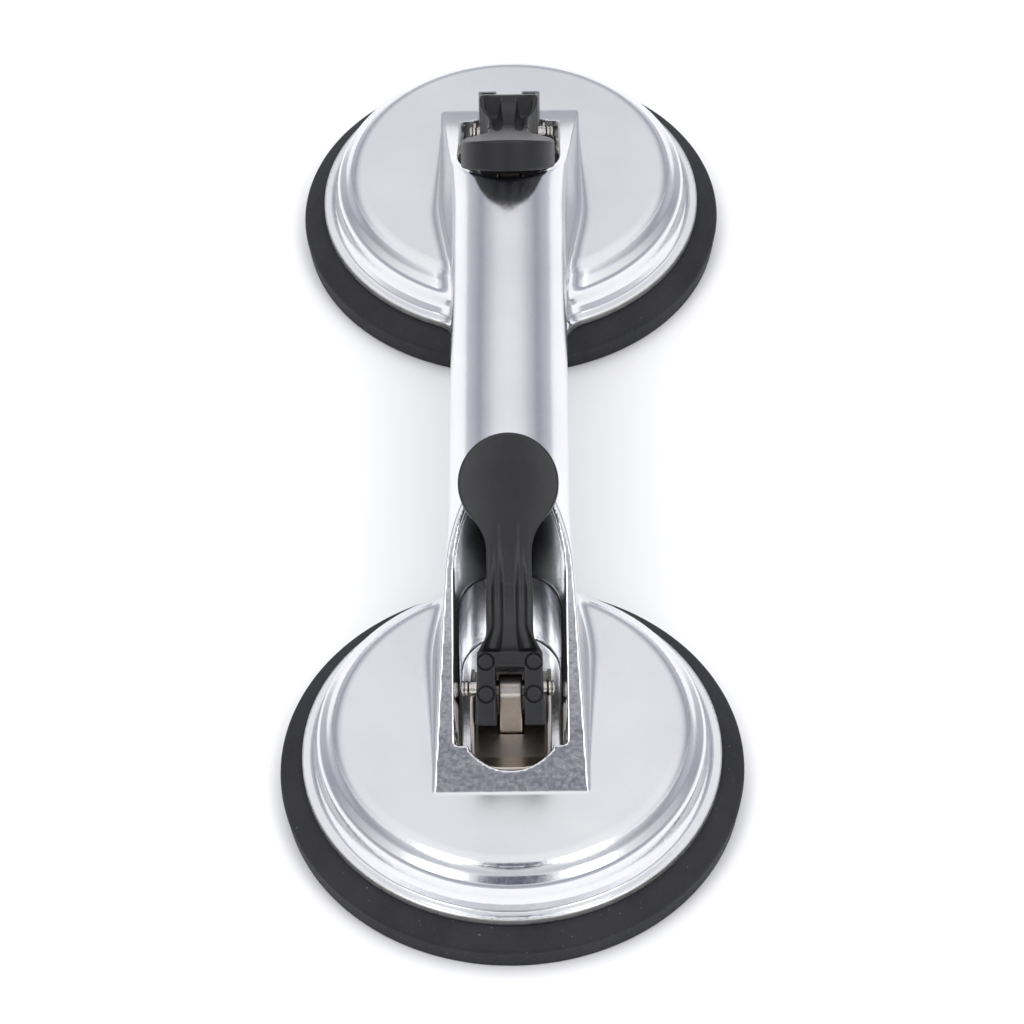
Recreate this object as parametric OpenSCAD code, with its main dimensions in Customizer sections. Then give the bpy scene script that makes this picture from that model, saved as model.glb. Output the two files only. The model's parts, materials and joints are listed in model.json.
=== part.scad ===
// Two-cup vacuum lifter with flip levers.
// Millimetres, +Z up. The origin is on the floor, midway between the two cups.
// Every cup part is drawn in its own cup frame: origin on the floor under the
// cup's centre, +Y towards the middle of the handle.

/* [Overall] */
// Distance between the two cup centres
cup_spacing = 207.5; // [200:0.5:230]
// Angle of each slanted end of the handle
ramp_angle = 30.4; // [29.6:0.1:31.2]

/* [Rubber pad] */
// Radius of the pad where it meets the surface
pad_r = 60; // [59:0.5:64]
// Radius at the top of the flared side wall
pad_top_r = 60.9; // [60:0.1:66]
// Height of the flared side wall
pad_wall_h = 6.9; // [5:0.1:8]
// Height of the pad under the casting's flange
pad_top_z = 10; // [9.5:0.1:10.1]
// Height of the hollow under the pad's middle
pad_hollow_h = 3.8; // [2:0.1:4.5]

/* [Casting] */
// Radius of the flange that presses on the pad
flange_r = 54.8; // [54:0.1:56]
// Height of the flange's lower face
flange_z = 10.3; // [10.3:0.1:10.6]
// Radius of the flat top of each cup
plateau_r = 43.5; // [42:0.1:44.5]
// Height of the flat top of each cup
plateau_z = 24.6; // [24.2:0.1:25]
// Wall thickness of the casting
wall = 3; // [2.5:0.1:3]

/* [Handle] */
// Radius of the half-round top of the handle
handle_r = 15.8; // [14.5:0.1:16.5]
// Height of the centre of the half-round top
handle_axis_z = 52.3; // [50:0.1:56]
// Height of the handle's underside
handle_under_z = 42; // [38:0.5:44]
// Half width of a leg at the foot of its slanted end
leg_foot_w = 20.2; // [19.5:0.1:21]
// Half width of a leg at the top of its side walls
leg_top_w = 16.9; // [16:0.1:18]

/* [Lever and pin] */
// Height of the pivot pin, levers folded in
pin_z = 38; // [37.5:0.1:38.5]
// Radius of the pivot pin
pin_r = 2; // [1.8:0.05:2.2]
// Angle of a folded lever above the horizontal
lever_angle = 38; // [37:0.5:40]
// Turn of a lever from folded (pad held up) to upright (pad let down)
release_angle = 52; // [48:1:52]
// How far the cam lifts the pad's middle
lift = 4.2; // [3:0.1:4.5]
// Radius of the thumb paddle
paddle_r = 13; // [11:0.5:14]
// Distance from the pin to the paddle's centre
paddle_reach = 52.5; // [50:0.5:54]

/* [Hidden] */
$fn = 96;
eps = 0.01;
run_gap = 0.05;       // radial clearance of the pin in the lever
move_gap = 0.4;       // clearance round parts that slide
cam_gap = 0.2;        // clearance between a cam and its wear plate

// casting
flange_t = 2;
cavity_r = 48.3;
cavity_z = plateau_z - wall;
boss_z = 17.4;
boss_r = 21.5;
boss_w = 15.5;
boss_l = 34.5;
recess_r = 19;
recess_z = 18.6;
ramp_foot_y = -23.85;
leg_bend_y = 20;      // cup frame: where a leg starts to narrow to the handle
section_y = -50;      // cup frame: where a leg takes the handle's own section
leg_inner_y = cup_spacing / 2 - flange_r - 0.05;
arch_r = 18;          // rounding between a leg and the handle's underside
channel_half_l = 43;
core_half_w = 11;

// trough and pocket in the slanted end
trough_w = 14.5;      // half width
trough_d = 7;
trough_r = (trough_w * trough_w + trough_d * trough_d) / (2 * trough_d);
trough_start = 12.7;  // distance up the slope from its foot
rim_t = 1.2;
pocket_w = 13;        // half width
pocket_inner_y = 30.2;
pocket_step_y = -12.9;
floor_z = 22.8;

// wear plate
plate_t = 1.2;
plate_top = floor_z + plate_t;
plate_w = 10.9;       // half width
plate_nose_y = -18.3;
plate_bend_y = -12.4;
plate_lip_z = 27.6;
plate_nose_r = 14;
plate_inner_y = 17;
ear_top_z = 38;

// pad plate, link and spring
insert_r = 38;
insert_z = 8.4;
insert_t = 2.5;
insert_top = insert_z + insert_t;
strap_t = 1.5;
strap_w = 3;          // half width
eye_r = pin_r + strap_t + run_gap;
foot_reach = 13.5;
rivet_y = 9.5;
rivet_r = 2;
cup_ring_r = 18.8;
cup_floor = insert_top + 0.8;
washer_t = 0.8;
washer_z = recess_z - washer_t;
wire_r = 0.9;
coil_r = 16.2;
coil_turns = 2.1;
coil_sides = 8;
coil_steps = 50;
coil_z0 = cup_floor + 0.3 + wire_r;
coil_z1 = washer_z - 0.02 - wire_r;

// pivot pin
pin_len = 24;
pin_shift = -0.6;

// lever, in its own frame: pin at the origin, arm along +Y, outer face towards +Z
fork_top = 11.5;
fork_shoulder = 9;
fork_foot = 9.6;
fork_shoulder_w = 8.2;
fork_foot_w = 8.9;
slot_w = 3.7;
slot_end = 5.1;
arm_w = 5.8;
arm_top = 4;
arm_under = -4.6;
web_run = 15;
neck_r = 12;
neck_dy = sqrt(pow(paddle_r + neck_r, 2) - pow(arm_w + neck_r, 2));
neck_y = paddle_reach - neck_dy;
cam_rest = pin_z - plate_top - cam_gap;
cam_rate = lift / (release_angle * PI / 180);

silver = [0.84, 0.85, 0.88];
nickel = [0.72, 0.67, 0.62];
steel = [0.6, 0.61, 0.63];
rubber_grey = [0.24, 0.24, 0.26];
lever_black = [0.17, 0.17, 0.19];

// ---------- helpers ----------

// Puts a cup part at the front cup
module front() {
    translate([0, -cup_spacing / 2, 0]) children();
}

// Puts a cup part at the rear cup, turned to face the handle
module rear() {
    rotate([0, 0, 180]) front() children();
}

module both_cups() {
    front() children();
    rear() children();
}

// Extrudes a (y, z) outline along X, w wide, centred
module extrude_x(w) {
    translate([-w / 2, 0, 0]) rotate([90, 0, 90]) linear_extrude(w) children();
}

// Extrudes an (x, z) outline along +Y from y0 for a length l
module extrude_y(y0, l) {
    translate([0, y0 + l, 0]) rotate([90, 0, 0]) linear_extrude(l) children();
}

// Frame on a slanted end: origin at its foot, +Y up the slope, +Z out of it
module on_ramp() {
    translate([0, ramp_foot_y, plateau_z]) rotate([ramp_angle, 0, 0]) children();
}

// Points of an arc about (cx, cy)
function arc(cx, cy, rx, ry, a0, a1, n = 16) =
    [for (i = [0:n]) let (a = a0 + (a1 - a0) * i / n) [cx + rx * cos(a), cy + ry * sin(a)]];

// ---------- casting ----------

// Outside of one cup, from the flange's lower face up
module cup_outside() {
    roll = arc(plateau_r, plateau_z - 1, 3.1, 1, 0, 90, 6);
    outline = concat(
        [[0, flange_z], [flange_r - 0.3, flange_z], [flange_r, flange_z + 0.3]],
        [[flange_r, flange_z + flange_t], [flange_r - 0.5, flange_z + flange_t + 0.5]],
        [[51.6, flange_z + flange_t + 0.4], [51.4, 15], [50.7, 19.3], [50.35, 20.2], [49.9, 20.6]],
        [[plateau_r + 3.8, plateau_z - 2.1]], roll, [[0, plateau_z]]);
    rotate_extrude() polygon(outline);
}

// Hollow under one cup, with a boss under the pocket and the spring's recess in it
module cup_cavity() {
    outline = [
        [0, flange_z - 1], [cavity_r + 0.5, flange_z - 1], [cavity_r + 0.5, flange_z],
        [cavity_r, flange_z + 1], [cavity_r - 0.6, 17.5], [plateau_r + 0.5, cavity_z], [0, cavity_z]];
    difference() {
        rotate_extrude() polygon(outline);
        translate([0, 0, boss_z]) cylinder(r = boss_r, h = 20);
        translate([-boss_w, 0, boss_z]) cube([2 * boss_w, boss_l, 20]);
    }
    cylinder(r = recess_r, h = recess_z);
}

// Cross-section of the handle: half-round top and side walls down to z0
module handle_section(half_w, foot_w, z0) {
    polygon(concat(arc(0, handle_axis_z, half_w, half_w, 0, 180, 32), [[-foot_w, z0], [foot_w, z0]]));
}

// Side view of the handle, legs and slanted ends
module side_outline() {
    end_y = cup_spacing / 2 - ramp_foot_y;
    crest_z = 70;
    crest_y = end_y - (crest_z - plateau_z) / tan(ramp_angle);
    leg_y = -leg_inner_y;
    half = concat(
        [[-crest_y, crest_z], [-end_y, plateau_z], [-end_y, 18], [leg_y - 16, 18]],
        [[leg_y - 10, flange_z], [leg_y, flange_z]],
        arc(leg_y + arch_r, handle_under_z - arch_r, arch_r, arch_r, 180, 90, 12));
    other = [for (i = [len(half) - 1:-1:0]) [-half[i][0], half[i][1]]];
    polygon(concat(half, other));
}

// One leg: the handle's section widening down to the foot of the slanted end
module leg_block() {
    hull() {
        extrude_y(-section_y, 0.1) handle_section(handle_r, handle_r + 0.2, plateau_z - 2);
        extrude_y(ramp_foot_y, leg_bend_y - ramp_foot_y) handle_section(leg_top_w, leg_foot_w, plateau_z - 2);
    }
}

// Spoon-shaped trough in a slanted end
module trough() {
    arch_y = (handle_axis_z - plateau_z) / sin(ramp_angle);
    arch_l = handle_r / sin(ramp_angle) - rim_t;
    outline = concat(
        [[-trough_w, trough_start], [trough_w, trough_start]],
        arc(0, arch_y, trough_w, arch_l, 0, 180, 32));
    on_ramp() intersection() {
        translate([0, 0, -trough_d - 1]) linear_extrude(40) polygon(outline);
        translate([0, 0, trough_r - trough_d]) rotate([-90, 0, 0]) cylinder(r = trough_r, h = 100);
    }
}

// Deep pocket that holds the wear plate and the cam, with a round nose
module pocket() {
    centre_y = pocket_inner_y - pocket_w;
    translate([0, 0, floor_z]) linear_extrude(50) {
        translate([0, centre_y]) circle(r = pocket_w);
        translate([-pocket_w, pocket_step_y]) square([2 * pocket_w, centre_y - pocket_step_y]);
        translate([0, plate_nose_y + plate_nose_r]) circle(r = plate_nose_r + 0.3);
    }
}

// Hole for the pull link, between the pocket and the cup's hollow
module link_hole() {
    hole_w = strap_w + move_gap;
    hole_l = eye_r + move_gap;
    translate([-hole_w, -hole_l, recess_z - 1]) cube([2 * hole_w, 2 * hole_l, floor_z - recess_z + 2]);
}

// Foundry core that lightens a leg from below
module leg_core() {
    outline = [[37.5, 10], [37.5, 42], [50.5, 51], [50.5, 10]];
    extrude_x(2 * core_half_w) polygon(outline);
}

// Open channel along the handle's underside
module handle_channel() {
    inner_r = handle_r - 3.6;
    extrude_y(-channel_half_l, 2 * channel_half_l)
        polygon(concat(arc(0, handle_axis_z, inner_r, inner_r, 0, 180, 24), [[-inner_r, 10], [inner_r, 10]]));
}

module lifter_body() {
    color(silver) difference() {
        union() {
            both_cups() cup_outside();
            intersection() {
                extrude_x(80) side_outline();
                union() {
                    extrude_y(-70, 140) handle_section(handle_r, handle_r, flange_z);
                    both_cups() leg_block();
                }
            }
        }
        both_cups() {
            cup_cavity();
            trough();
            pocket();
            link_hole();
            leg_core();
        }
        handle_channel();
    }
}

// ---------- cup parts ----------

// Rubber pad: sealing lip, flared wall, crowned rim and a locating ring
module rubber_pad() {
    outline = concat(
        [[0, pad_hollow_h], [40, pad_hollow_h], [50, 0.8], [51.2, 0], [53, 0], [53.6, 0.8], [54.4, 0.8]],
        [[55, 0], [pad_r, 0], [pad_top_r - 0.1, pad_wall_h - 0.7]],
        arc(pad_top_r - 0.8, pad_wall_h - 0.7, 0.8, 0.8, 20, 70, 4),
        [[flange_r + 1, pad_top_z - 0.5], [flange_r - 0.5, pad_top_z]],
        [[47.6, pad_top_z], [47.3, 13], [44.5, 13], [44, 10], [insert_r, insert_top - 0.6]],
        [[insert_r, insert_z], [0, insert_z]]);
    color(rubber_grey) rotate_extrude() polygon(outline);
}

// Steel disc bonded into the pad's middle
module pad_plate() {
    color(steel) difference() {
        translate([0, 0, insert_z]) cylinder(r = insert_r, h = insert_t);
        for (s = [-1, 1]) translate([0, s * rivet_y, insert_z - 1]) cylinder(r = rivet_r, h = insert_t + 2);
    }
}

// Strap folded round the pivot pin, its feet riveted to the pad plate
module pull_link() {
    foot_top = insert_top + strap_t;
    inner = eye_r - strap_t;
    color(nickel) difference() {
        union() {
            extrude_x(2 * strap_w) difference() {
                union() {
                    translate([0, pin_z]) circle(r = eye_r);
                    translate([-eye_r, insert_top]) square([2 * eye_r, pin_z - insert_top]);
                }
                translate([0, pin_z]) circle(r = inner);
                translate([-inner, 0]) square([2 * inner, pin_z]);
            }
            for (s = [-1, 1]) translate([-5, s * (foot_reach + inner) / 2 - (foot_reach - inner) / 2, insert_top])
                cube([10, foot_reach - inner, strap_t]);
        }
        for (s = [-1, 1]) translate([0, s * rivet_y, insert_top - 1]) cylinder(r = rivet_r, h = strap_t + 2);
    }
}

// Two rivets that hold the link's feet on the pad plate
module link_rivets() {
    head_z = insert_top + strap_t;
    color(steel) for (s = [-1, 1]) translate([0, s * rivet_y, 0]) {
        translate([0, 0, insert_z]) cylinder(r = rivet_r, h = head_z - insert_z);
        translate([0, 0, head_z]) intersection() {
            translate([0, 0, -2.5]) sphere(r = 4.2);
            cylinder(r = 3.4, h = 2);
        }
    }
}

// Pressed ring that keeps the spring centred on the pad plate
module spring_cup() {
    outline = [
        [14.6, insert_top], [cup_ring_r, insert_top], [cup_ring_r, 13.4],
        [cup_ring_r - 0.8, 13.4], [cup_ring_r - 0.8, cup_floor], [14.6, cup_floor]];
    color(steel) rotate_extrude() polygon(outline);
}

// Steel washer that the spring bears on, in the casting's recess
module spring_washer() {
    color(steel) translate([0, 0, washer_z]) difference() {
        cylinder(r = recess_r - 0.4, h = washer_t);
        translate([0, 0, -1]) cylinder(r = 12, h = washer_t + 2);
    }
}

// Ring of points round the spring's wire, i steps along the coil
function coil_ring(i) =
    let (t = i / coil_steps, a = 360 * coil_turns * t, z = coil_z0 + (coil_z1 - coil_z0) * t)
    [for (k = [0:coil_sides - 1]) let (b = 360 * k / coil_sides, r = coil_r + wire_r * cos(b))
        [r * cos(a), r * sin(a), z + wire_r * sin(b)]];

// Compression spring that pushes the pad down when the lever is raised
module return_spring() {
    last = coil_steps * coil_sides;
    points = [for (i = [0:coil_steps]) each coil_ring(i)];
    sides = [for (i = [0:coil_steps - 1], k = [0:coil_sides - 1])
        let (a = i * coil_sides, n = (k + 1) % coil_sides)
        [a + k, a + coil_sides + k, a + coil_sides + n, a + n]];
    first_cap = [for (k = [0:coil_sides - 1]) k];
    last_cap = [for (k = [coil_sides - 1:-1:0]) last + k];
    color(steel) polyhedron(points, concat([first_cap], sides, [last_cap]));
}

// Side view of a wear plate: flat under the cams, then up to the lip at its nose
module liner_outline() {
    lip_y = plate_nose_y + 0.7;
    polygon([[plate_inner_y, floor_z], [plate_inner_y, plate_top], [plate_bend_y, plate_top],
             [lip_y, plate_lip_z], [plate_nose_y, plate_lip_z - 1], [plate_bend_y - 0.4, floor_z]]);
}

// Side view of a wear plate's flange: it rises to two horns beside the pin
module ear_outline() {
    released_z = pin_z - lift;
    notch_r = pin_r + move_gap;
    difference() {
        polygon([[-12.8, floor_z], [-12.8, plate_top + 2], [-4.6, ear_top_z], [-2.6, ear_top_z],
                 [2.6, ear_top_z - 2], [5, ear_top_z - 3], [plate_inner_y, plate_top + 1],
                 [plate_inner_y, floor_z]]);
        translate([0, released_z]) circle(r = notch_r);
        translate([-notch_r, released_z]) square([2 * notch_r, 20]);
    }
}

// Bent sheet liner that the cams slide on
module wear_plate() {
    inner_w = plate_w - 1;
    hole_w = strap_w + move_gap;
    hole_l = eye_r + move_gap;
    color(nickel) {
        difference() {
            intersection() {
                extrude_x(2 * plate_w) liner_outline();
                translate([0, 0, floor_z - 1]) linear_extrude(10) {
                    translate([0, plate_nose_y + plate_nose_r]) circle(r = plate_nose_r);
                    translate([-plate_w, plate_nose_y + plate_nose_r]) square([2 * plate_w, 40]);
                }
            }
            translate([-hole_w, -hole_l, floor_z - 1]) cube([2 * hole_w, 2 * hole_l, 3]);
        }
        for (s = [-1, 1]) translate([s * (plate_w + inner_w) / 2, 0, 0])
            extrude_x(plate_w - inner_w) ear_outline();
    }
}

// Pivot pin with two rings rolled into each end
module pivot_pin() {
    end_y = pin_len / 2;
    groove = pin_r - 0.3;
    half = [
        [0, 0], [pin_r, 0], [pin_r, end_y - 2.6], [groove, end_y - 2.4], [groove, end_y - 1.9],
        [pin_r, end_y - 1.7], [pin_r, end_y - 1.3], [groove, end_y - 1.1], [groove, end_y - 0.8],
        [pin_r, end_y - 0.6], [pin_r, end_y - 0.4], [pin_r - 0.4, end_y], [0, end_y]];
    color(nickel) translate([pin_shift, 0, pin_z]) rotate([0, 90, 0]) {
        rotate_extrude() polygon(half);
        mirror([0, 0, 1]) rotate_extrude() polygon(half);
    }
}

// ---------- lever ----------

// Point of the cam for a lever turned until b degrees off its arm's normal points down.
// Turning the lever lets the pin down at an even rate.
function cam_point(b) =
    let (s = cam_rest - cam_rate * (b - lever_angle) * PI / 180)
    [-s * sin(b) + cam_rate * cos(b), -s * cos(b) - cam_rate * sin(b)];

// Side view of the fork: square foot, cam under it, flat land for the folded position
module fork_outline() {
    upright = lever_angle + release_angle;
    cam = [for (i = [0:12]) cam_point(upright - release_angle * i / 12)];
    land = 2;
    land_end = cam[12] + land * [cos(lever_angle), -sin(lever_angle)];
    polygon(concat(
        [[fork_shoulder, fork_top], [-cam_rest + lift, fork_top]], cam,
        [land_end, land_end + [2.6, 0.2], [4.5, -12], [fork_shoulder, -7.2]]));
}

// Side view of the arm, with the web that rises to the fork
module arm_outline() {
    web_h = fork_top - arm_top;
    polygon(concat(
        [[fork_shoulder - 1, -7.5], [fork_shoulder - 1, fork_top], [fork_shoulder, fork_top]],
        arc(fork_shoulder + web_run, fork_top, web_run, web_h, 180, 270, 12),
        [[paddle_reach, arm_top], [paddle_reach, arm_under], [28, arm_under]]));
}

// Plan of the neck between the arm and the paddle
module neck_plan() {
    touch = paddle_r / (paddle_r + neck_r);
    half_w = touch * (arm_w + neck_r);
    difference() {
        translate([-half_w, neck_y]) square([2 * half_w, neck_dy * (1 - touch) + 2]);
        for (s = [-1, 1]) translate([s * (arm_w + neck_r), neck_y]) circle(r = neck_r);
    }
}

module lever() {
    fork_plan = [[-fork_shoulder_w, fork_shoulder], [-fork_foot_w, -fork_foot - 8],
                 [fork_foot_w, -fork_foot - 8], [fork_shoulder_w, fork_shoulder]];
    paddle_t = arm_top - arm_under;
    color(lever_black) translate([0, 0, pin_z]) rotate([lever_angle, 0, 0]) difference() {
        union() {
            intersection() {
                extrude_x(24) fork_outline();
                translate([0, 0, -20]) linear_extrude(40) polygon(fork_plan);
            }
            extrude_x(2 * arm_w) arm_outline();
            translate([0, 0, arm_under]) linear_extrude(paddle_t) neck_plan();
            translate([0, paddle_reach, arm_under]) cylinder(r = paddle_r, h = paddle_t);
        }
        translate([-slot_w, slot_end - 40, -20]) cube([2 * slot_w, 40, 40]);
        translate([-20, 0, 0]) rotate([0, 90, 0]) cylinder(r = pin_r + run_gap, h = 40);
    }
}

// ---------- nodes ----------

lifter_body();

front() rubber_pad();  // front_rubber_pad
front() pad_plate();  // front_pad_plate
front() pull_link();  // front_pull_link
front() link_rivets();  // front_link_rivets
front() spring_cup();  // front_spring_cup
front() return_spring();  // front_return_spring
front() spring_washer();  // front_spring_washer
front() wear_plate();  // front_wear_plate
front() pivot_pin();  // front_pivot_pin
front() lever();  // front_lever

rear() rubber_pad();  // rear_rubber_pad
rear() pad_plate();  // rear_pad_plate
rear() pull_link();  // rear_pull_link
rear() link_rivets();  // rear_link_rivets
rear() spring_cup();  // rear_spring_cup
rear() return_spring();  // rear_return_spring
rear() spring_washer();  // rear_spring_washer
rear() wear_plate();  // rear_wear_plate
rear() pivot_pin();  // rear_pivot_pin
rear() lever();  // rear_lever
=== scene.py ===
import json
import math

import bmesh
import bpy
import numpy as np
from mathutils import Matrix, Vector


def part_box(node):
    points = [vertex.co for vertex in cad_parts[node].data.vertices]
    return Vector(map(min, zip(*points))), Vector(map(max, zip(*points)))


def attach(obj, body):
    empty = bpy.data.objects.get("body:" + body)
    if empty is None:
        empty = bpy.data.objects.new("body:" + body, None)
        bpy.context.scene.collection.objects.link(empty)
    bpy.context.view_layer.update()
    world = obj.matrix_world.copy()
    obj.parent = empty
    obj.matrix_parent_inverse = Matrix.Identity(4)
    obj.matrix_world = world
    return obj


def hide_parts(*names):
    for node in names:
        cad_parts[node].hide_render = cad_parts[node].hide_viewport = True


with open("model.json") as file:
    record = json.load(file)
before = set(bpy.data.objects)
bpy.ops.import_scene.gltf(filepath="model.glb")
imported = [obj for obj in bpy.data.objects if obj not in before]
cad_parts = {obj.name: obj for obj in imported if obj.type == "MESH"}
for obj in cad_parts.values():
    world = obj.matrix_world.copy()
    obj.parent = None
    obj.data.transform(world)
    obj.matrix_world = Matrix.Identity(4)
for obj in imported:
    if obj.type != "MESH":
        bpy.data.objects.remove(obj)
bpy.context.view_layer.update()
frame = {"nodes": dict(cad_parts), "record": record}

# Main dimensions of the CAD, in millimetres. A cup's frame has its origin under the cup's centre
# and its Y towards the middle of the handle.
MM = 0.001
CUP_Y = -103.75
FLANGE_R, FLANGE_Z, FLANGE_TOP = 54.8, 10.3, 12.8
PLATEAU_Z = 24.6
HANDLE_Z, HANDLE_UNDER = 52.3, 42.0
RAMP, RAMP_FOOT_Y = math.radians(30.4), -23.85
NOSE_Y = -4.3
PLATE_TOP = 24.0
PIN_Z = 38.0
LEVER_ANGLE, LEVER_TRAVEL = math.radians(38), math.radians(52)
PAD_DROP = 4.2
CAM_GAP = 0.2
ARM_W = 5.8
NECK_R = 12.0
PADDLE_Y, PADDLE_R = 52.5, 13.0
BLADE_TOP, BLADE_UNDER = 4.0, -4.6
LINK_BEND, LINK_OUTER, LINK_INNER = 38.0, 3.54, 2.06


# ---------- distance functions, in millimetres ----------


def join(a, b, r=0.0):
    """Union, with a fillet of radius r."""
    if np.isscalar(r) and r <= 0:
        return np.minimum(a, b)
    u, v = np.maximum(r - a, 0), np.maximum(r - b, 0)
    return np.maximum(r, np.minimum(a, b)) - np.sqrt(u * u + v * v)


def meet(a, b, r=0.0):
    """Intersection, with its edge rounded to radius r."""
    if np.isscalar(r) and r <= 0:
        return np.maximum(a, b)
    u, v = np.maximum(r + a, 0), np.maximum(r + b, 0)
    return np.minimum(-r, np.maximum(a, b)) + np.sqrt(u * u + v * v)


def cut(a, b, r=0.0):
    return meet(a, -b, r)


def line(p, q, a, b):
    """Signed distance of (p, q) from the line through a and b, positive on its left."""
    dx, dy = b[0] - a[0], b[1] - a[1]
    length = math.hypot(dx, dy)
    return ((q - a[1]) * dx - (p - a[0]) * dy) / length


def polygon(p, q, points):
    """Signed distance of (p, q) from a closed outline."""
    best = np.full(np.shape(p), 1e9)
    sign = np.ones(np.shape(p))
    last = points[-1]
    for here in points:
        ex, ey = last[0] - here[0], last[1] - here[1]
        wx, wy = p - here[0], q - here[1]
        t = np.clip((wx * ex + wy * ey) / (ex * ex + ey * ey), 0, 1)
        best = np.minimum(best, (wx - ex * t) ** 2 + (wy - ey * t) ** 2)
        above, below = q >= here[1], q < last[1]
        left = ex * wy > ey * wx
        flip = (above & below & left) | (~above & ~below & ~left)
        sign = np.where(flip, -sign, sign)
        last = here
    return sign * np.sqrt(best)


def smooth(t):
    t = np.clip(t, 0, 1)
    return t * t * (3 - 2 * t)


# ---------- distance function to mesh ----------


GRID_MARGIN = 1.5
GRID_SHIFT = 0.137
FLATNESS = 0.08


def contour(f, low, high, h, mirror=(True, False)):
    """Mesh of the surface f = 0 with one vertex in each cell it crosses.
    Cells are centred on x = 0 (and y = 0) where the shape is mirrored there. Elsewhere the grid is
    shifted by a part of a cell, so that its planes miss the shape's own."""
    margin = GRID_MARGIN * h
    axes = [np.arange(low[k] - margin + GRID_SHIFT * h, high[k] + margin, h) for k in range(3)]
    if mirror[0]:
        axes[0] = np.arange(-h / 2, high[0] + margin, h)
    if mirror[1]:
        axes[1] = np.arange(h / 2, low[1] - margin, -h)[::-1]
    size = [len(a) for a in axes]
    values = np.empty(size, np.float32)
    for i in range(0, size[0], 8):
        x, y, z = np.meshgrid(axes[0][i : i + 8], axes[1], axes[2], indexing="ij")
        values[i : i + 8] = f(x, y, z)
    inside = values < 0
    cells = [n - 1 for n in size]

    def cell_id(i, j, k):
        return (i * cells[1] + j) * cells[2] + k

    ids, crossings, quads = [], [], []
    for axis in range(3):
        a = [slice(None)] * 3
        b = [slice(None)] * 3
        a[axis], b[axis] = slice(0, -1), slice(1, None)
        first, second = inside[tuple(a)], inside[tuple(b)]
        at = np.argwhere(first != second)
        u, v = [k for k in range(3) if k != axis]
        ok = (at[:, u] > 0) & (at[:, u] < size[u] - 1)
        ok &= (at[:, v] > 0) & (at[:, v] < size[v] - 1)
        at = at[ok]
        p0 = np.stack([axes[k][at[:, k]] for k in range(3)], 1)
        p1 = p0.copy()
        p1[:, axis] += h
        f0 = values[tuple(at.T)].astype(float)
        shifted = at.copy()
        shifted[:, axis] += 1
        f1 = values[tuple(shifted.T)].astype(float)
        t0, t1 = np.zeros(len(at)), np.ones(len(at))
        for _ in range(5):
            t = t0 + (t1 - t0) * np.clip(f0 / (f0 - f1), 0.03, 0.97)
            p = p0 + (p1 - p0) * t[:, None]
            fm = f(p[:, 0], p[:, 1], p[:, 2])
            low_side = (fm < 0) == (f0 < 0)
            t0, f0 = np.where(low_side, t, t0), np.where(low_side, fm, f0)
            t1, f1 = np.where(low_side, t1, t), np.where(low_side, f1, fm)
        t = t0 + (t1 - t0) * np.clip(f0 / (f0 - f1), 0, 1)
        p = p0 + (p1 - p0) * t[:, None]
        around = []
        for du, dv in ((-1, -1), (0, -1), (0, 0), (-1, 0)):
            c = at.copy()
            c[:, u] += du
            c[:, v] += dv
            around.append(cell_id(c[:, 0], c[:, 1], c[:, 2]))
        quad = np.stack(around, 1)
        outward = first[tuple(at.T)]
        if axis == 1:
            outward = ~outward
        quad = np.where(outward[:, None], quad, quad[:, ::-1])
        quads.append(quad)
        for c in around:
            ids.append(c)
            crossings.append(p)
    ids, p = np.concatenate(ids), np.concatenate(crossings)
    n = gradient(f, p)
    used, where = np.unique(ids, return_inverse=True)
    m = len(used)
    number = np.bincount(where, minlength=m)
    centre = np.stack([np.bincount(where, p[:, k], m) for k in range(3)], 1) / number[:, None]
    offset = np.sum(n * (p - centre[where]), 1)
    matrix = np.empty((m, 3, 3))
    right = np.empty((m, 3))
    for i in range(3):
        right[:, i] = np.bincount(where, n[:, i] * offset, m)
        for j in range(3):
            matrix[:, i, j] = np.bincount(where, n[:, i] * n[:, j], m)
    matrix += np.eye(3) * FLATNESS
    vertex = centre + np.linalg.solve(matrix, right[:, :, None])[:, :, 0]
    grid = np.stack(np.unravel_index(used, cells), 1)
    corner = np.stack([axes[k][grid[:, k]] for k in range(3)], 1)
    vertex = np.clip(vertex, corner - 0.1 * h, corner + 1.1 * h)
    faces = np.searchsorted(used, np.concatenate(quads))
    for k in range(2):
        if mirror[k]:
            edge_cell = 0 if k == 0 else cells[1] - 1
            vertex[grid[:, k] == edge_cell, k] = 0
    for k in range(2):
        if mirror[k]:
            keep = ~np.all(vertex[faces][:, :, k] == 0, 1)
            faces = faces[keep]
            seam = vertex[:, k] == 0
            other = np.where(seam, np.arange(len(vertex)), 0)
            other[~seam] = len(vertex) + np.arange((~seam).sum())
            copy = vertex[~seam].copy()
            copy[:, k] *= -1
            faces = np.concatenate([faces, other[faces][:, ::-1]])
            vertex = np.concatenate([vertex, copy])
    return vertex, faces, gradient(f, vertex)


def gradient(f, p, e=0.02):
    g = np.empty_like(p)
    for k in range(3):
        d = np.zeros(3)
        d[k] = e
        a, b = p + d, p - d
        g[:, k] = f(a[:, 0], a[:, 1], a[:, 2]) - f(b[:, 0], b[:, 1], b[:, 2])
    return g / np.maximum(np.linalg.norm(g, axis=1), 1e-9)[:, None]


def mesh_object(name, vertex, faces, normal=None):
    mesh = bpy.data.meshes.new(name)
    mesh.from_pydata((vertex * MM).tolist(), [], faces.tolist())
    mesh.validate()
    mesh.polygons.foreach_set("use_smooth", [True] * len(mesh.polygons))
    if normal is not None and len(mesh.vertices) == len(vertex):
        mesh.normals_split_custom_set_from_vertices(normal.tolist())
    mesh.update()
    obj = bpy.data.objects.new(name, mesh)
    bpy.context.scene.collection.objects.link(obj)
    return obj


# ---------- casting ----------


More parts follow.
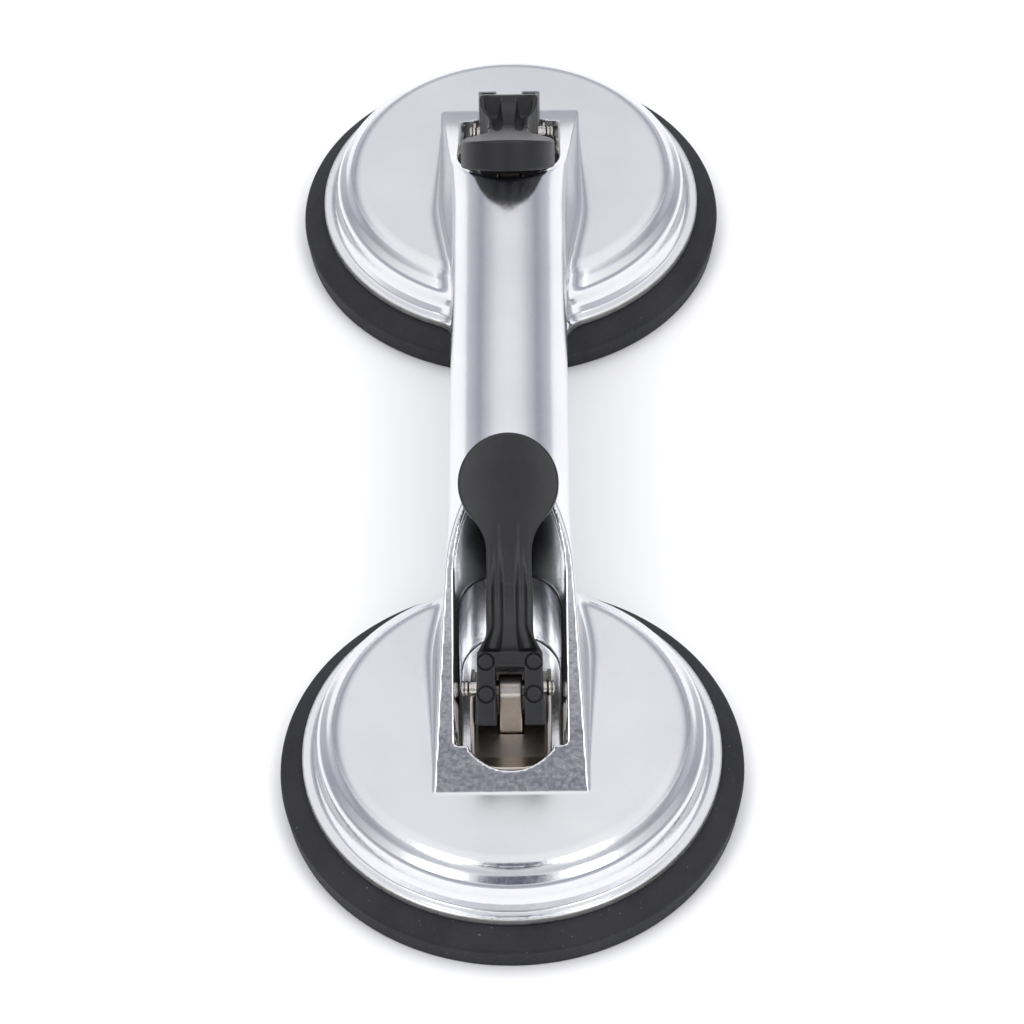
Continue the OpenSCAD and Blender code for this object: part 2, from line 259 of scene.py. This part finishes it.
def cup_outside(radius, z):
    """A cup's turned outside: flange, skirt, band, step and flat top."""
    under = FLANGE_Z - z
    flange = meet(meet(radius - FLANGE_R, z - FLANGE_TOP, 0.4), under, 0.25)
    skirt = meet(line(radius, z, (50.6, 19.4), (51.45, 14.7)), radius - 51.45, 1.0)
    band = line(radius, z, (47.3, 22.45), (49.9, 20.5))
    lower = np.maximum(meet(meet(skirt, band, 0.7), under), z - 23.2)
    step = line(radius, z, (46.6, 23.8), (47.4, 22.3))
    upper = meet(meet(step, z - PLATEAU_Z, 2.6), under)
    return join(join(lower, upper, 0.5), flange, 0.35)


def cup_cavity(x, y, radius, z):
    """The hollow under a cup, with a boss left standing round the spring's recess."""
    wall = np.maximum(radius - 48.3, line(radius, z, (44.0, 21.6), (47.7, 17.5)))
    hollow = meet(wall, z - 21.6, 1.5)
    hollow = meet(hollow, 9.0 - z)
    boss = np.minimum(radius - 21.5, np.maximum(np.abs(x) - 15.5, np.maximum(-y, y - 34.5)))
    boss = np.maximum(boss, 17.4 - z)
    hollow = cut(hollow, boss, 0.8)
    recess = np.maximum(radius - 19.0, np.maximum(z - 18.6, 10 - z))
    return np.minimum(hollow, recess)


def handle(x, y, z, slope):
    """Half-round bar with drafted sides, which widens into the leg on its cup."""
    flare = smooth((51 - y) / 34)
    half = 15.8 + 1.1 * flare
    draft = 0.007 + 0.104 * flare
    crown = np.sqrt(x * x + (z - HANDLE_Z) ** 2) - half
    side = (np.abs(x) - half - draft * (HANDLE_Z - z)) / np.sqrt(1 + draft * draft)
    bar = meet(np.where(z > HANDLE_Z, crown, side), slope, 0.55)
    leg = join(y - 54.85, HANDLE_UNDER - z, 17.5)
    bar = meet(bar, leg, 1.3)
    return meet(bar, FLANGE_Z - z, 0.5)


def trough(x, along, slope):
    """Round-bottomed trough in the ramp; its upper end is half an ellipse in plan."""
    half, bend, reach = 14.5, 54.7, 30.0
    pipe = np.sqrt(x * x + (slope - 11.52) ** 2) - 18.52
    past = np.maximum(along - bend, 0)
    k1 = np.sqrt((x / half) ** 2 + (past / reach) ** 2)
    k2 = np.sqrt((x / half**2) ** 2 + (past / reach**2) ** 2) + 1e-9
    plan = np.where(along > bend, k1 * (k1 - 1) / k2, np.abs(x) - half)
    plan = meet(plan, 12.7 - along, 1.2)
    return np.maximum(meet(pipe, plan, 0.3), -14 - slope)


def pocket(x, y, z):
    """Pocket for the cam: a wide part with a round inner end, and a round nose."""
    ax = np.abs(x)
    half, inner_y = 13.0, 17.2
    wide = np.where(y > inner_y, np.sqrt(x * x + (y - inner_y) ** 2) - half, ax - half)
    wide = np.maximum(wide, -12.9 - y)
    nose = np.sqrt(x * x + (y - NOSE_Y) ** 2) - 14.25
    nose = np.maximum(nose, np.maximum(y + 9, ax - 10.75))
    return meet(join(wide, nose, 0.5), 22.8 - z, 0.4)


def leg_core(x, y, z):
    """The hollow that keeps the leg's wall thin."""
    inner_y, outer_y = 37.5, 50.5
    core = np.maximum(line(y, z, (inner_y, HANDLE_UNDER), (outer_y, 51.0)), 9.0 - z)
    return meet(meet(core, np.abs(x) - 11.0, 2.0), np.maximum(inner_y - y, y - outer_y), 1.0)


def link_hole(x, y, z):
    return np.maximum(np.abs(x) - 3.4, np.maximum(np.abs(y) - 4.0, np.abs(z - 20.0) - 5.0))


def handle_channel(x, y, z):
    """Open channel along the handle's underside; y is measured from the handle's middle."""
    half = 12.2
    section = np.where(z > HANDLE_Z, np.sqrt(x * x + (z - HANDLE_Z) ** 2) - half, np.abs(x) - half)
    return meet(section, np.abs(y) - 43.0, 1.5)


def casting(x, y, z):
    """Whole casting; y is measured from the handle's middle, and y_cup is in the nearer cup's frame."""
    y_cup = -CUP_Y - np.abs(y)
    radius = np.sqrt(x * x + y_cup * y_cup)
    run, lift = y_cup - RAMP_FOOT_Y, z - PLATEAU_Z
    along = run * math.cos(RAMP) + lift * math.sin(RAMP)
    slope = lift * math.cos(RAMP) - run * math.sin(RAMP)

    fillet = 0.25 + 4.2 * smooth((y_cup + 24) / 54)
    body = join(cup_outside(radius, z), handle(x, y_cup, z, slope), fillet)
    body = cut(body, trough(x, along, slope), 0.5)
    body = cut(body, pocket(x, y_cup, z), 0.5)
    body = cut(body, cup_cavity(x, y_cup, radius, z), 0.5)
    body = cut(body, leg_core(x, y_cup, z), 0.5)
    body = cut(body, link_hole(x, y_cup, z), 0.2)
    return cut(body, handle_channel(x, y, z), 0.9)


# ---------- lever ----------


def cam_point(b):
    """Point where the cam touches down when the lever has turned to angle b."""
    rest = PIN_Z - PLATE_TOP - CAM_GAP
    rate = PAD_DROP / LEVER_TRAVEL
    s = rest - rate * (b - LEVER_ANGLE)
    return (-s * math.sin(b) + rate * math.cos(b), -s * math.cos(b) - rate * math.sin(b))


def fork_profile():
    upright = LEVER_ANGLE + LEVER_TRAVEL
    cam = [cam_point(upright - LEVER_TRAVEL * i / 12) for i in range(13)]
    last_y, last_z = cam[-1]
    end = (last_y + 2 * math.cos(LEVER_ANGLE), last_z - 2 * math.sin(LEVER_ANGLE))
    return [(12, 14), (-9.6, 14)] + cam + [end, (end[0] + 2.6, end[1] + 0.2), (4.5, -12), (12, -4)]


FORK = fork_profile()


def lever_fork(x, y, z):
    width = 8.2 + 0.7 * np.clip((9 - y) / 18.6, 0, 1)
    fork = meet(polygon(y, z, FORK), np.abs(x) - width, 0.5)
    fork = meet(fork, z - 11.5, 0.5)
    return meet(fork, y - 9.0, 0.5)


def arm_plan(x, y):
    """Plan of the arm, of its hollow-sided neck and of the round paddle."""
    ax = np.abs(x)
    arm = meet(np.maximum(y - PADDLE_Y, 5.0 - y), ax - ARM_W)
    neck_x = ARM_W + NECK_R
    neck_y = PADDLE_Y - math.sqrt((PADDLE_R + NECK_R) ** 2 - neck_x**2)
    curve = np.sqrt(np.maximum(NECK_R**2 - np.clip(y - neck_y, 0, NECK_R) ** 2, 0))
    neck = (ax - np.minimum(neck_x - curve, 9.2)) * 0.85
    neck = np.maximum(neck, np.maximum(neck_y - 0.1 - y, y - 45.2))
    paddle = np.sqrt(x * x + (y - PADDLE_Y) ** 2) - PADDLE_R
    return np.minimum(np.minimum(arm, neck), paddle)


def lever_blade(x, y, z):
    """Arm and paddle with a crowned top, and the heel under the arm."""
    top = z - (BLADE_TOP - 0.0072 * x * x)
    blade = meet(meet(arm_plan(x, y), top, 0.7), BLADE_UNDER - z, 0.6)
    under = line(y, z, (9.0, -7.4), (28.0, BLADE_UNDER))
    ends = np.maximum(np.abs(x) - ARM_W, np.maximum(6.0 - y, y - 30))
    return join(blade, meet(np.maximum(-under, top), ends, 0.6))


def web_rise(y):
    """Height of the arm's top where it climbs to the fork, and the cosine of its slope."""
    fall = np.clip(24.0 - y, 0, 15.0) / 15.0
    rise = BLADE_TOP + 7.5 * (1 - np.sqrt(np.maximum(1 - fall**2, 0)))
    steep = 0.5 * fall / np.sqrt(np.maximum(1 - fall**2, 0.05))
    return rise, 1 / np.sqrt(1 + np.minimum(steep**2, 9))


def lever(x, y, z):
    """One lever in its own frame: pin at the origin, arm along +Y, outer face towards +Z."""
    ax = np.abs(x)
    rise, tilt = web_rise(y)
    near = smooth((16.5 - y) / 8.0)
    web = meet((z - rise) * tilt, ax - ARM_W - 2.3 * near * near, 0.6)
    web = np.maximum(web, np.maximum(6.0 - y, y - 26))
    web = np.maximum(web, -z)
    shape = join(lever_fork(x, y, z), lever_blade(x, y, z), 1.0)
    shape = join(shape, web, 0.8)

    flute_x = 3.1 + 1.5 * near
    flute_r = 1.5 + 0.8 * near
    flute_z = rise + 0.45 - 0.5 * near + 1.1 * smooth((y - 22) / 18)
    flute = np.sqrt((ax - flute_x) ** 2 + ((z - flute_z) * tilt) ** 2) - flute_r
    flute = np.maximum(flute * 0.8, np.maximum(8.9 - y, y - 42))
    shape = cut(shape, flute, 0.35)

    slot = meet(ax - 3.7, y - 5.1, 0.6)
    shape = cut(shape, slot, 0.35)
    pin_hole = np.sqrt(y * y + z * z) - 2.05
    shape = cut(shape, pin_hole, 0.2)
    for disc_y in (-1.9, 6.4):
        far = np.sqrt((ax - 6.1) ** 2 + (y - disc_y) ** 2)
        ring = np.maximum(np.abs(far - 1.95) - 0.32, 10.9 - z)
        shape = cut(shape, ring, 0.12)
        disc = np.maximum(meet(far - 1.75, z - 11.85, 0.15), 10.5 - z)
        shape = join(shape, disc, 0.05)
    return shape


# ---------- sheet-metal parts ----------


def wear_plate(x, y, z):
    """Liner in its cup's frame: a sheet with a raised nose and a rolled lip, and two upright ears."""
    ax = np.abs(x)
    half, ear_inner = 10.4, 9.4
    out = np.sqrt(x * x + np.minimum(y - NOSE_Y, 0) ** 2)
    slope = np.clip((-y - 11.7) / 6.1, 0, 1)
    sheet = (np.abs(z - 23.4 - 3.4 * slope) - 0.6) * (1 - 0.25 * slope)
    plan = np.where(y < NOSE_Y, out - 14.0, np.maximum(ax - 10.9, y - 17.0))
    sheet = meet(meet(sheet, plan, 0.25), ax - half, 0.2)
    lip = np.sqrt((out - 13.35) ** 2 + (z - 23.8 - 3.35 * slope) ** 2) - 0.55
    lip = meet(np.maximum(lip, y + 13.4), ax - 10.2, 0.2)
    sheet = join(sheet, lip, 0.2)

    outline = [(-12.8, 22.9), (-12.8, 26), (-4.6, 38), (-2.6, 38), (2.6, 36), (5, 35), (17, 25), (17, 22.9)]
    notch_z = 33.8
    notch = np.where(z > notch_z, np.abs(y), np.sqrt(y * y + (z - notch_z) ** 2)) - 2.4
    ear = cut(polygon(y, z, outline), notch, 0.2)
    ear = meet(meet(ear, ax - half, 0.25), ear_inner - ax, 0.2)
    plate = join(sheet, ear, 0.35)
    hole = np.maximum(ax - 3.4, np.abs(y) - 4.0)
    return cut(plate, hole, 0.15)


def pull_link(x, y, z):
    """Folded strap in its cup's frame, with a foot on each side."""
    ax, ay = np.abs(x), np.abs(y)
    away = np.where(z > LINK_BEND, np.sqrt(y * y + (z - LINK_BEND) ** 2), ay)
    strap = meet(away - LINK_OUTER, LINK_INNER - away, 0.1)
    strap = meet(strap, ax - 2.98, 0.45)
    strap = np.maximum(strap, 10.92 - z)
    foot = np.maximum(ax - 5.0, np.maximum(ay - 13.5, LINK_INNER - ay))
    foot = meet(foot, np.abs(z - 11.66) - 0.73, 0.3)
    return join(strap, foot, 0.8)


# ---------- turned parts ----------


def lathe(name, profile, steps=192, closed=False):
    """Turns (radius, z) points about Z; the outline closes on the axis, or on itself."""
    points = np.array(profile, float)
    n = len(points)
    angle = np.arange(steps) * 2 * math.pi / steps
    vertex = np.stack(
        [
            np.outer(np.cos(angle), points[:, 0]),
            np.outer(np.sin(angle), points[:, 0]),
            np.tile(points[:, 1], (steps, 1)),
        ],
        2,
    ).reshape(-1, 3)
    faces = []
    spans = n if closed else n - 1
    for i in range(steps):
        j = (i + 1) % steps
        for k in range(spans):
            m = (k + 1) % n
            faces.append((i * n + k, j * n + k, j * n + m, i * n + m))
    obj = mesh_object(name, vertex, np.array(faces))
    merge(obj)
    return obj


def merge(obj, distance=1e-7):
    bm = bmesh.new()
    bm.from_mesh(obj.data)
    bmesh.ops.remove_doubles(bm, verts=bm.verts, dist=distance)
    bmesh.ops.recalc_face_normals(bm, faces=bm.faces)
    bm.to_mesh(obj.data)
    bm.free()


def rounded(points, radii, steps=5):
    """Outline with its corners rounded."""
    out = []
    n = len(points)
    for i, (p, r) in enumerate(zip(points, radii)):
        if r <= 0:
            out.append(tuple(p))
            continue
        p = np.array(p, float)
        a, b = np.array(points[i - 1], float) - p, np.array(points[(i + 1) % n], float) - p
        la, lb = np.linalg.norm(a), np.linalg.norm(b)
        a, b = a / la, b / lb
        half = math.acos(max(-1, min(1, float(a @ b)))) / 2
        back = min(r / math.tan(half), 0.48 * la, 0.48 * lb)
        start, end = p + a * back, p + b * back
        for s in range(steps + 1):
            t = s / steps
            out.append(tuple((1 - t) ** 2 * start + 2 * t * (1 - t) * p + t * t * end))
    return out


# ---------- materials ----------


class Look:
    """A node material with short helpers."""

    def __init__(self, name):
        self.mat = bpy.data.materials.new(name)
        self.mat.use_nodes = True
        self.tree = self.mat.node_tree
        self.shader = self.tree.nodes["Principled BSDF"]
        self.coord = self.tree.nodes.new("ShaderNodeTexCoord").outputs["Object"]

    def set(self, **values):
        for key, value in values.items():
            self.shader.inputs[key.replace("_", " ")].default_value = value

    def node(self, kind, **values):
        n = self.tree.nodes.new(kind)
        for key, value in values.items():
            if key in n.inputs:
                n.inputs[key].default_value = value
            else:
                setattr(n, key, value)
        return n

    def noise(self, scale, detail=3.0, rough=0.55, stretch=(1, 1, 1), shift=(0, 0, 0)):
        mapping = self.node("ShaderNodeMapping")
        mapping.inputs["Scale"].default_value = stretch
        mapping.inputs["Location"].default_value = shift
        self.tree.links.new(self.coord, mapping.inputs["Vector"])
        n = self.node("ShaderNodeTexNoise", Scale=scale, Detail=detail, Roughness=rough)
        self.tree.links.new(mapping.outputs[0], n.inputs["Vector"])
        return n.outputs["Fac"]

    def spread(self, value, low, high, out_low, out_high):
        m = self.node("ShaderNodeMapRange")
        for key, v in (("From Min", low), ("From Max", high), ("To Min", out_low), ("To Max", out_high)):
            m.inputs[key].default_value = v
        self.tree.links.new(value, m.inputs["Value"])
        return m.outputs[0]

    def math(self, operation, a, b):
        m = self.node("ShaderNodeMath", operation=operation)
        for i, v in enumerate((a, b)):
            if isinstance(v, (int, float)):
                m.inputs[i].default_value = v
            else:
                self.tree.links.new(v, m.inputs[i])
        return m.outputs[0]

    def mix(self, factor, a, b):
        m = self.node("ShaderNodeMix", data_type="RGBA")
        self.tree.links.new(factor, m.inputs[0])
        for socket, v in ((m.inputs[6], a), (m.inputs[7], b)):
            if isinstance(v, tuple):
                socket.default_value = (*v, 1)
            else:
                self.tree.links.new(v, socket)
        return m.outputs[2]

    def bump(self, layers):
        """Height layers as (value, metres)."""
        normal = None
        for value, distance in layers:
            b = self.node("ShaderNodeBump", Strength=1.0, Distance=distance)
            self.tree.links.new(value, b.inputs["Height"])
            if normal is not None:
                self.tree.links.new(normal, b.inputs["Normal"])
            normal = b.outputs[0]
        self.tree.links.new(normal, self.shader.inputs["Normal"])

    def use(self, socket, value):
        self.tree.links.new(value, self.shader.inputs[socket])


def look_aluminium():
    """Polished metal, duller and scratched on the flange's edge and satin on the cups' flat tops."""
    m = Look("polished_aluminium")
    m.set(Metallic=1.0)
    broad = m.noise(28, 3, 0.5)
    fine = m.noise(900, 2, 0.6)
    swell = m.noise(55, 1, 0.4, shift=(0.6, 0.4, 0.1))
    peel = m.noise(760, 2, 0.5, shift=(0.3, 0.1, 0.2))
    split = m.node("ShaderNodeSeparateXYZ")
    m.tree.links.new(m.coord, split.inputs[0])
    height = split.outputs["Z"]
    rim = m.spread(height, 0.0127, 0.0125, 0, 1)
    scratch = m.noise(1, 3, 0.6, stretch=(1300, 1300, 120))
    clean = m.mix(m.spread(broad, 0.35, 0.7, 0, 1), (0.80, 0.805, 0.83), (0.87, 0.875, 0.89))
    m.use("Base Color", m.mix(rim, clean, (0.60, 0.59, 0.57)))
    above, below = m.spread(height, 0.0242, 0.0245, 0, 1), m.spread(height, 0.0247, 0.0250, 1, 0)
    satin = m.math("MULTIPLY", m.math("MULTIPLY", above, below), 0.16)
    rough = m.math("ADD", m.spread(fine, 0.3, 0.75, 0.13, 0.22), satin)
    m.use("Roughness", m.math("ADD", rough, m.math("MULTIPLY", rim, 0.2)))
    m.bump([(peel, 0.000012), (swell, 0.00012), (m.math("MULTIPLY", scratch, rim), 0.00025)])
    return m.mat


def look_metal(name, color, rough, scale=700, depth=0.00001):
    m = Look(name)
    m.set(Metallic=1.0)
    n = m.noise(scale, 3, 0.6)
    m.use("Base Color", m.mix(m.spread(n, 0.35, 0.7, 0, 1), tuple(c * 0.9 for c in color), color))
    m.use("Roughness", m.spread(n, 0.3, 0.7, rough * 0.85, rough * 1.15))
    m.bump([(n, depth)])
    return m.mat


def look_plastic():
    m = Look("lever_plastic")
    m.set(Specular_IOR_Level=0.45)
    n = m.noise(1500, 3, 0.6)
    broad = m.noise(60, 3, 0.5)
    m.use("Base Color", m.mix(m.spread(broad, 0.35, 0.7, 0, 1), (0.013, 0.013, 0.015), (0.020, 0.020, 0.023)))
    m.use("Roughness", m.spread(n, 0.3, 0.7, 0.32, 0.46))
    m.bump([(n, 0.00002), (broad, 0.00012)])
    return m.mat


def look_rubber():
    m = Look("pad_rubber")
    m.set(Specular_IOR_Level=0.22)
    fine = m.noise(1100, 3, 0.6)
    broad = m.noise(45, 4, 0.6)
    specks = m.noise(1300, 1, 0.4, shift=(0.7, 0.2, 0.4))
    base = m.mix(m.spread(broad, 0.35, 0.7, 0, 1), (0.021, 0.021, 0.024), (0.031, 0.031, 0.035))
    dust = m.spread(specks, 0.76, 0.80, 0, 0.35)
    m.use("Base Color", m.mix(dust, base, (0.3, 0.3, 0.31)))
    m.use("Roughness", m.spread(fine, 0.3, 0.7, 0.55, 0.72))
    m.bump([(fine, 0.000025), (broad, 0.0001)])
    return m.mat


LOOKS = {
    "polished_aluminium": look_aluminium(),
    "nickel": look_metal("nickel", (0.76, 0.70, 0.63), 0.33, 1600, 0.000004),
    "pin_steel": look_metal("pin_steel", (0.70, 0.66, 0.60), 0.2),
    "steel": look_metal("steel", (0.52, 0.53, 0.55), 0.34, 400, 0.00002),
    "spring_steel": look_metal("spring_steel", (0.42, 0.42, 0.44), 0.28),
    "lever_plastic": look_plastic(),
    "pad_rubber": look_rubber(),
}


# ---------- putting the pieces in place ----------

AT_FRONT = Matrix.Translation((0, CUP_Y * MM, 0))
AT_REAR = Matrix.Rotation(math.pi, 4, "Z") @ AT_FRONT
PLACES = {"front": AT_FRONT, "rear": AT_REAR}


def fit_to(obj, node):
    """Keeps a piece inside the box of the CAD node it stands for."""
    low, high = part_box(node)
    for v in obj.data.vertices:
        for k in range(3):
            v.co[k] = min(max(v.co[k], low[k]), high[k])


def install(source, part, material, local=Matrix.Identity(4), body="root"):
    """Copies a piece to both cups, in place of the CAD nodes of that name."""
    for end, place in PLACES.items():
        obj = source.copy()
        obj.data = source.data.copy()
        obj.name = obj.data.name = f"{end}_{part}_visual"
        bpy.context.scene.collection.objects.link(obj)
        obj.data.transform(place @ local)
        fit_to(obj, f"{end}_{part}")
        obj.data.materials.clear()
        obj.data.materials.append(LOOKS[material])
        name = "root" if body == "root" else f"{end}_{body}"
        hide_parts(f"{end}_{part}")
        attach(obj, name)
    bpy.data.objects.remove(source)


def build_casting():
    h = 0.42
    v, f, n = contour(casting, (0, -160, 9), (56, 0, 69.5), h, (True, True))
    obj = mesh_object("lifter_body_visual", v, f, n)
    obj.data.materials.append(LOOKS["polished_aluminium"])
    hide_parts("lifter_body")
    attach(obj, "root")


def build_levers():
    h = 0.28
    v, f, n = contour(lever, (0, -12, -17), (13.5, 66, 12.2), h)
    place = Matrix.Translation((0, 0, PIN_Z * MM)) @ Matrix.Rotation(LEVER_ANGLE, 4, "X")
    install(mesh_object("lever", v, f, n), "lever", "lever_plastic", place, "lever")


def build_sheet_parts():
    h = 0.32
    v, f, n = contour(wear_plate, (0, -18.6, 22.5), (11.2, 17.3, 38.3), h)
    install(mesh_object("plate", v, f, n), "wear_plate", "nickel")
    v, f, n = contour(pull_link, (0, -13.8, 10.6), (5.3, 13.8, 41.8), h)
    install(mesh_object("link", v, f, n), "pull_link", "nickel", body="pull")


def build_pads():
    # radius, height and rounding of each corner, from the inner groove round to the middle
    corners = [
        (38.0, 8.4, 0.2),
        (38.0, 10.3, 0.3),
        (44.0, 10.0, 0.4),
        (44.5, 13.0, 0.5),
        (47.3, 13.0, 0.5),
        (47.6, 10.0, 0.3),
        (54.3, 10.0, 0.2),
        (55.8, 9.5, 0.5),
        (60.55, 7.0, 0.7),
        (60.85, 6.2, 0.5),
        (60.0, 0.0, 0.35),
        (55.0, 0.0, 0.3),
        (54.4, 0.8, 0.2),
        (53.6, 0.8, 0.2),
        (53.0, 0.0, 0.3),
        (51.2, 0.0, 0.4),
        (50.0, 0.8, 0.5),
        (40.0, 3.8, 2.0),
        (0.0, 3.8, 0),
        (0.0, 8.4, 0),
    ]
    outline = rounded([c[:2] for c in corners], [c[2] for c in corners])
    pad = lathe("pad", outline, 224, True)
    install(pad, "rubber_pad", "pad_rubber", body="pull")


def build_pins():
    """Pins with two grooves at each end, along X."""
    wide, groove = 1.97, 1.7
    end = [(0.0, -12.0), (1.6, -12.0), (wide, -11.6), (wide, -11.35), (groove, -11.15), (groove, -10.95)]
    end += [(wide, -10.75), (wide, -10.3), (groove, -10.1), (groove, -9.65), (wide, -9.4)]
    profile = end + [(wide, 0.0)] + [(r, -z) for r, z in reversed(end)]
    pin = lathe("pin", profile, 48)
    place = Matrix.Translation((-0.6 * MM, 0, PIN_Z * MM)) @ Matrix.Rotation(math.pi / 2, 4, "Y")
    install(pin, "pivot_pin", "pin_steel", place, "pull")


def dress_cad_nodes():
    """Parts that keep their CAD mesh get softened edges and a finish."""
    slots = {s["node"]: s["material_slot"] for s in frame["record"]["subparts"]}
    for name, obj in frame["nodes"].items():
        if obj.hide_render:
            continue
        obj.data.materials.clear()
        obj.data.materials.append(LOOKS[slots[name]])
        weld = obj.modifiers.new("weld", "WELD")
        weld.merge_threshold = 1e-6
        bevel = obj.modifiers.new("bevel", "BEVEL")
        bevel.width = 0.00018
        bevel.segments = 2
        bevel.limit_method = "ANGLE"
        bevel.angle_limit = math.radians(35)
        bevel.harden_normals = False
        for p in obj.data.polygons:
            p.use_smooth = True


build_casting()
build_levers()
build_sheet_parts()
build_pads()
build_pins()
dress_cad_nodes()


# ---------- studio ----------


def build_floor():
    bpy.ops.mesh.primitive_plane_add(size=6, location=(0, 0, -0.0002))
    floor = bpy.context.object
    floor.name = "floor"
    m = Look("floor")
    m.set(Base_Color=(0.93, 0.93, 0.935, 1), Roughness=0.9, Specular_IOR_Level=0.1)
    floor.data.materials.append(m.mat)


def area_light(name, place, target, size, power, color=(1, 1, 1)):
    data = bpy.data.lights.new(name, "AREA")
    data.shape = "RECTANGLE"
    data.size, data.size_y = size
    data.energy = power
    data.color = color
    obj = bpy.data.objects.new(name, data)
    obj.location = place
    obj.rotation_euler = (Vector(target) - Vector(place)).to_track_quat("-Z", "Y").to_euler()
    bpy.context.scene.collection.objects.link(obj)
    return obj


def build_world():
    """A white studio: bright overhead, grey below 30 degrees, with a dim panel just above the camera."""
    world = bpy.data.worlds.new("studio")
    bpy.context.scene.world = world
    world.use_nodes = True
    tree = world.node_tree
    links = tree.links
    background = tree.nodes["Background"]
    coord = tree.nodes.new("ShaderNodeTexCoord").outputs["Generated"]
    split = tree.nodes.new("ShaderNodeSeparateXYZ")
    links.new(coord, split.inputs[0])

    def ramp(value, stops):
        r = tree.nodes.new("ShaderNodeValToRGB")
        r.color_ramp.interpolation = "EASE"
        points = r.color_ramp.elements
        points[0].position, points[0].color = stops[0][0], (*stops[0][1], 1)
        points[1].position, points[1].color = stops[-1][0], (*stops[-1][1], 1)
        for at, c in stops[1:-1]:
            points.new(at).color = (*c, 1)
        links.new(value, r.inputs[0])
        return r.outputs[0]

    def calc(operation, a, b):
        m = tree.nodes.new("ShaderNodeMath")
        m.operation = operation
        for i, v in enumerate((a, b)):
            if isinstance(v, (int, float)):
                m.inputs[i].default_value = v
            else:
                links.new(v, m.inputs[i])
        return m.outputs[0]

    height = calc("MULTIPLY_ADD", split.outputs["Z"], 0.5)
    height.node.inputs[2].default_value = 0.5
    greys = [
        (0.50, (0.62, 0.63, 0.68)),
        (0.60, (0.50, 0.51, 0.57)),
        (0.69, (0.36, 0.37, 0.42)),
        (0.77, (0.58, 0.59, 0.64)),
        (0.84, (0.86, 0.86, 0.89)),
        (0.89, (0.95, 0.95, 0.97)),
        (1.0, (0.95, 0.95, 0.97)),
    ]
    sky = ramp(height, greys)
    panel_height = math.radians(57)
    panel = Vector((0, -math.cos(panel_height), math.sin(panel_height)))
    dot = tree.nodes.new("ShaderNodeVectorMath")
    dot.operation = "DOT_PRODUCT"
    dot.inputs[1].default_value = panel
    links.new(coord, dot.inputs[0])
    mask = ramp(dot.outputs["Value"], [(0.964, (1, 1, 1)), (0.977, (0.12, 0.13, 0.17))])
    mix = tree.nodes.new("ShaderNodeMix")
    mix.data_type = "RGBA"
    mix.blend_type = "MULTIPLY"
    mix.inputs[0].default_value = 1.0
    links.new(sky, mix.inputs[6])
    links.new(mask, mix.inputs[7])
    links.new(mix.outputs[2], background.inputs["Color"])
    background.inputs["Strength"].default_value = 1.0


def build_camera():
    pitch, yaw, roll = math.radians(48.28), math.radians(-0.847), math.radians(-1.285)
    ahead = Vector((math.sin(yaw) * math.cos(pitch), math.cos(yaw) * math.cos(pitch), -math.sin(pitch)))
    right = Vector((math.cos(yaw), -math.sin(yaw), 0))
    up = right.cross(ahead)
    side = right * math.cos(roll) + up * math.sin(roll)
    top = up * math.cos(roll) - right * math.sin(roll)
    target, distance = Vector((0.000009, -0.009413, 0)), 1.150164
    place = target - ahead * distance
    data = bpy.data.cameras.new("camera")
    data.lens = 145.1
    data.sensor_width = 36
    data.clip_start = 0.05
    obj = bpy.data.objects.new("camera", data)
    bpy.context.scene.collection.objects.link(obj)
    obj.matrix_world = Matrix(
        (
            (side.x, top.x, -ahead.x, place.x),
            (side.y, top.y, -ahead.y, place.y),
            (side.z, top.z, -ahead.z, place.z),
            (0, 0, 0, 1),
        )
    )
    bpy.context.scene.camera = obj


build_floor()
build_world()
area_light("left_softbox", (-0.62, -0.72, 1.12), (0, 0, 0), (0.42, 0.6), 2.2)
area_light("right_softbox", (0.62, -0.72, 1.12), (0, 0, 0), (0.42, 0.6), 2.2)
fill = area_light("overhead_fill", (0, 0, 3.0), (0, 0, 0), (3.0, 3.0), 42)
fill.visible_glossy = False
build_camera()
scene = bpy.context.scene
scene.view_settings.view_transform = "Standard"
scene.view_settings.look = "None"
